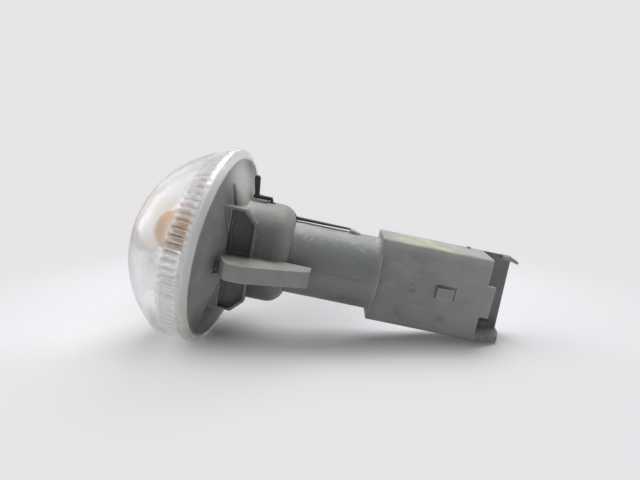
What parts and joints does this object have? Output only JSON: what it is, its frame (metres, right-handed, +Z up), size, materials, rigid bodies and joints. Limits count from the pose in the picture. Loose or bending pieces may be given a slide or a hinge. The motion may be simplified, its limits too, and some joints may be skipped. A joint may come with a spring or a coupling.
{
  "type": "side repeater lamp",
  "caption": "Round side repeater lamp: clear fluted dome on a grey flange, with a latch, a spring and a bulb holder that ends in a plug socket.",
  "frame": {"origin": "on the axis of the barrel and bulb holder, where it crosses the seat that meets the body panel", "axes": "+X along the bulb holder towards the plug socket, into the car; the lens faces -X; +Z up as pictured; -Y is the latch side"},
  "size_m": [0.0898, 0.0462, 0.046],
  "materials": {
    "lens": "clear moulded plastic",
    "housing": "satin grey moulding",
    "reflector": "vacuum metallised",
    "spring": "black",
    "holder": "satin cool grey moulding",
    "seal": "matt black",
    "bulb": "amber glass",
    "filament": "drawn tungsten wire",
    "lead": "drawn wire",
    "terminal": "tin-washed brass strip"
  },
  "bodies": {
    "root": {"lens": "lens", "housing": "housing", "reflector": "reflector", "retaining_spring": "spring", "bulb_holder": "holder", "holder_seal": "seal", "bulb_glass": "bulb", "filament": "filament", "upper_lead": "lead", "lower_lead": "lead", "upper_terminal": "terminal", "lower_terminal": "terminal"}
  },
  "joints": []
}
